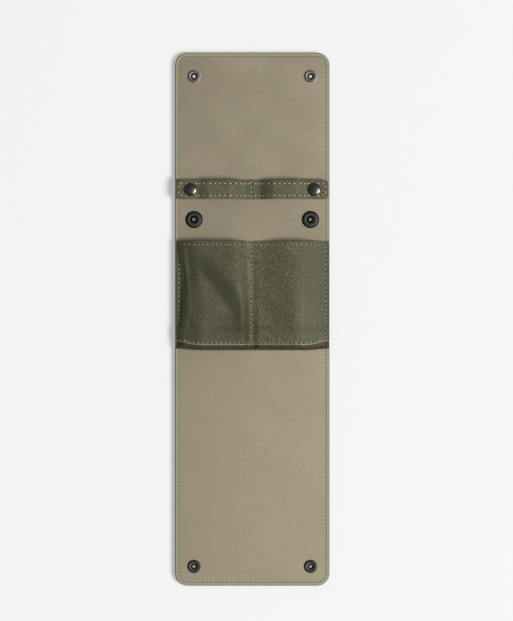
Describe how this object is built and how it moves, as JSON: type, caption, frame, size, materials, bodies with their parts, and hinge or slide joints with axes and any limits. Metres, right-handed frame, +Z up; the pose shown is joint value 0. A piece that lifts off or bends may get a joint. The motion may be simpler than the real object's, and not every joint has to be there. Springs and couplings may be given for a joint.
{
  "type": "watch roll",
  "caption": "Long leather roll lined with suede, with a divided pocket, a snap-down strap, and flaps at both ends that fold over and snap shut.",
  "frame": {"origin": "centre of the open panel's outline, on the surface that the roll lies on", "axes": "+X across the panel, +Y along it towards the short flap, +Z up out of the lining"},
  "size_m": [0.11, 0.38, 0.0179],
  "materials": {
    "outer_leather": "pebbled olive leather with painted edges",
    "olive_leather": "pebbled olive leather",
    "olive_backing": "smooth olive leather",
    "suede": "beige suede, short nap",
    "board": "grey fibreboard",
    "gunmetal": "gunmetal-plated brass",
    "socket_metal": "gunmetal-plated brass, polished bead",
    "post_metal": "nickel-plated steel",
    "spring_metal": "bronze spring wire, bare"
  },
  "bodies": {
    "base": {"outer_base": "outer_leather", "board_base": "board", "lining_base": "suede", "pocket_front": "olive_leather", "pocket_gusset": "olive_backing", "strap_middle_face": "olive_leather", "strap_middle_back": "olive_backing", "stud_mid_left": "gunmetal", "stud_mid_right": "gunmetal", "post_mid_left": "post_metal", "post_mid_right": "post_metal", "stud_strap_left": "gunmetal", "stud_strap_right": "gunmetal", "post_strap_left": "post_metal", "post_strap_right": "post_metal"},
    "top_spine": {"outer_top_spine": "outer_leather", "lining_top_spine": "suede"},
    "top_flap": {"outer_top_flap": "outer_leather", "board_top_flap": "board", "lining_top_flap": "suede", "cap_top_left": "gunmetal", "socket_top_left": "socket_metal", "spring_top_left": "spring_metal", "cap_top_right": "gunmetal", "socket_top_right": "socket_metal", "spring_top_right": "spring_metal"},
    "top_edge": {"outer_top_edge": "outer_leather", "lining_top_edge": "suede"},
    "bottom_spine": {"outer_bottom_spine": "outer_leather", "lining_bottom_spine": "suede"},
    "bottom_flap": {"outer_bottom_flap": "outer_leather", "board_bottom_flap": "board", "lining_bottom_flap": "suede"},
    "bottom_dip": {"outer_bottom_dip": "outer_leather", "lining_bottom_dip": "suede"},
    "bottom_edge": {"outer_bottom_edge": "outer_leather", "lining_bottom_edge": "suede", "stud_bottom_left": "gunmetal", "post_bottom_left": "post_metal", "socket_bottom_left": "socket_metal", "spring_bottom_left": "spring_metal", "stud_bottom_right": "gunmetal", "post_bottom_right": "post_metal", "socket_bottom_right": "socket_metal", "spring_bottom_right": "spring_metal"},
    "strap_left": {"strap_left_face": "olive_leather", "strap_left_back": "olive_backing", "cap_strap_left": "gunmetal", "socket_strap_left": "socket_metal", "spring_strap_left": "spring_metal"},
    "strap_right": {"strap_right_face": "olive_leather", "strap_right_back": "olive_backing", "cap_strap_right": "gunmetal", "socket_strap_right": "socket_metal", "spring_strap_right": "spring_metal"}
  },
  "joints": [
    {"name": "top_fold_1", "type": "hinge", "parent": "base", "child": "top_spine", "pos_m": [0, 0.1176, 0.0054], "axis": [1, 0, 0], "range_deg": [0, 90]},
    {"name": "top_fold_2", "type": "hinge", "parent": "top_spine", "child": "top_flap", "pos_m": [0, 0.1264, 0.0054], "axis": [1, 0, 0], "range_deg": [0, 90]},
    {"name": "top_edge_bend", "type": "hinge", "parent": "top_flap", "child": "top_edge", "pos_m": [0, 0.1795, 0.0022], "axis": [1, 0, 0], "range_deg": [-60, 0]},
    {"name": "bottom_fold_1", "type": "hinge", "parent": "base", "child": "bottom_spine", "pos_m": [0, -0.0439, 0.0054], "axis": [-1, 0, 0], "range_deg": [0, 90]},
    {"name": "bottom_fold_2", "type": "hinge", "parent": "bottom_spine", "child": "bottom_flap", "pos_m": [0, -0.0589, 0.0054], "axis": [-1, 0, 0], "range_deg": [0, 90]},
    {"name": "bottom_dip_bend", "type": "hinge", "parent": "bottom_flap", "child": "bottom_dip", "pos_m": [0, -0.15377, 0.0054], "axis": [-1, 0, 0], "range_deg": [0, 50]},
    {"name": "bottom_edge_bend", "type": "hinge", "parent": "bottom_dip", "child": "bottom_edge", "pos_m": [0, -0.1697, 0.0022], "axis": [-1, 0, 0], "range_deg": [-50, 0]},
    {"name": "strap_left_lift", "type": "hinge", "parent": "base", "child": "strap_left", "pos_m": [-0.004, 0.0922, 0.0078], "axis": [0, -1, 0], "range_deg": [-80, 0]},
    {"name": "strap_right_lift", "type": "hinge", "parent": "base", "child": "strap_right", "pos_m": [0.004, 0.0922, 0.0078], "axis": [0, 1, 0], "range_deg": [-80, 0]}
  ],
  "couplings": [
    {"joint": "top_edge_bend", "follows": "top_fold_2", "ratio": -0.5},
    {"joint": "bottom_dip_bend", "follows": "bottom_fold_2", "ratio": 0.5},
    {"joint": "bottom_edge_bend", "follows": "bottom_fold_2", "ratio": -0.5}
  ]
}
